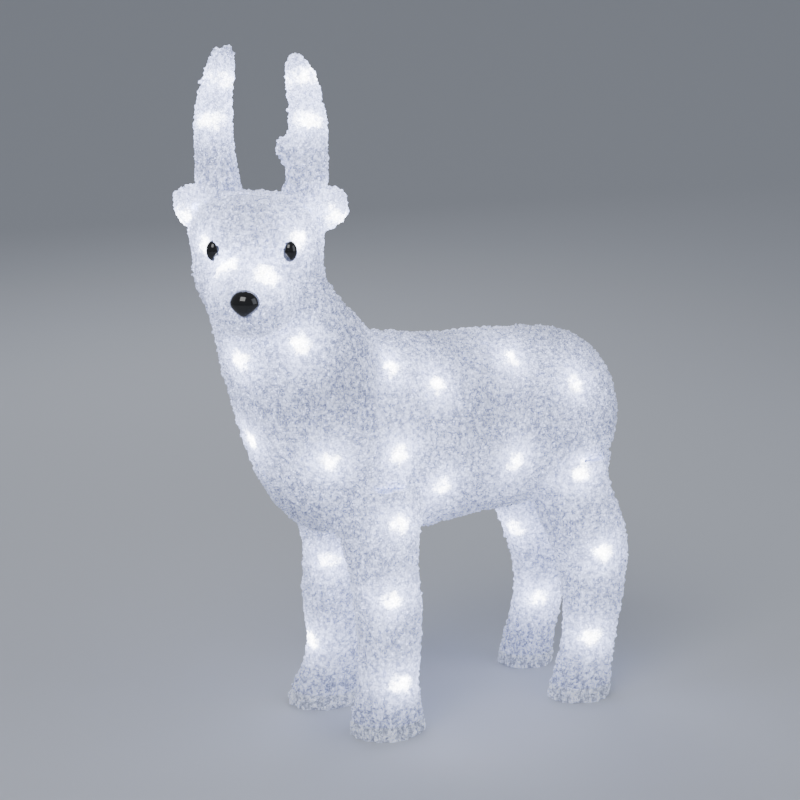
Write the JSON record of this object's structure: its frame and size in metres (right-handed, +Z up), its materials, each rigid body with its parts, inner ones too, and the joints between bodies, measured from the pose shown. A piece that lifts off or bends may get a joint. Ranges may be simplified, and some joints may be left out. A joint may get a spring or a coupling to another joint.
{
  "type": "light up yard reindeer",
  "caption": "Standing reindeer figure of frosted ice-like acrylic, lit from inside by white lamps, with black eyes and nose and two upright antlers.",
  "frame": {"origin": "middle of the figure's footprint box, on the ground it stands on", "axes": "+Z up, nose towards -X, the animal's left side towards -Y"},
  "size_m": [0.324, 0.126, 0.448],
  "materials": {
    "frosted_acrylic": "translucent granular acrylic, lit from inside",
    "clear_acrylic": "clear cast acrylic with grain",
    "black_gloss": "polished",
    "led_lens": "clear epoxy lens",
    "sleeve_plastic": "moulded",
    "lead_insulation": "soft insulation",
    "black_rubber": "moulded"
  },
  "bodies": {
    "root": {"antler_left": "frosted_acrylic", "antler_right": "frosted_acrylic", "antler_tine": "frosted_acrylic", "body_shell_left": "frosted_acrylic", "body_shell_right": "frosted_acrylic", "ear_left": "frosted_acrylic", "ear_right": "frosted_acrylic", "eye_left": "black_gloss", "eye_right": "black_gloss", "face_shell": "frosted_acrylic", "front_left_hoof": "clear_acrylic", "front_left_leg": "frosted_acrylic", "front_right_hoof": "clear_acrylic", "front_right_leg": "frosted_acrylic", "hind_left_hoof": "clear_acrylic", "hind_left_leg": "frosted_acrylic", "hind_right_hoof": "clear_acrylic", "hind_right_leg": "frosted_acrylic", "lamps_antler_left": "led_lens", "lamps_antler_right": "led_lens", "lamps_front_left": "led_lens", "lamps_front_right": "led_lens", "lamps_head": "led_lens", "lamps_hind_left": "led_lens", "lamps_hind_right": "led_lens", "lamps_neck": "led_lens", "lamps_torso_left": "led_lens", "lamps_torso_right": "led_lens", "lead_grommet": "black_rubber", "leads_antler_left": "lead_insulation", "leads_antler_right": "lead_insulation", "leads_front_left": "lead_insulation", "leads_front_right": "lead_insulation", "leads_head": "lead_insulation", "leads_hind_left": "lead_insulation", "leads_hind_right": "lead_insulation", "leads_neck": "lead_insulation", "leads_torso_left": "lead_insulation", "leads_torso_right": "lead_insulation", "neck_shell_left": "frosted_acrylic", "neck_shell_right": "frosted_acrylic", "nose": "black_gloss", "skull_shell": "frosted_acrylic", "sockets_antler_left": "sleeve_plastic", "sockets_antler_right": "sleeve_plastic", "sockets_front_left": "sleeve_plastic", "sockets_front_right": "sleeve_plastic", "sockets_head": "sleeve_plastic", "sockets_hind_left": "sleeve_plastic", "sockets_hind_right": "sleeve_plastic", "sockets_neck": "sleeve_plastic", "sockets_torso_left": "sleeve_plastic", "sockets_torso_right": "sleeve_plastic", "splice_sleeve_body": "sleeve_plastic", "splice_sleeve_neck": "sleeve_plastic"}
  },
  "joints": []
}
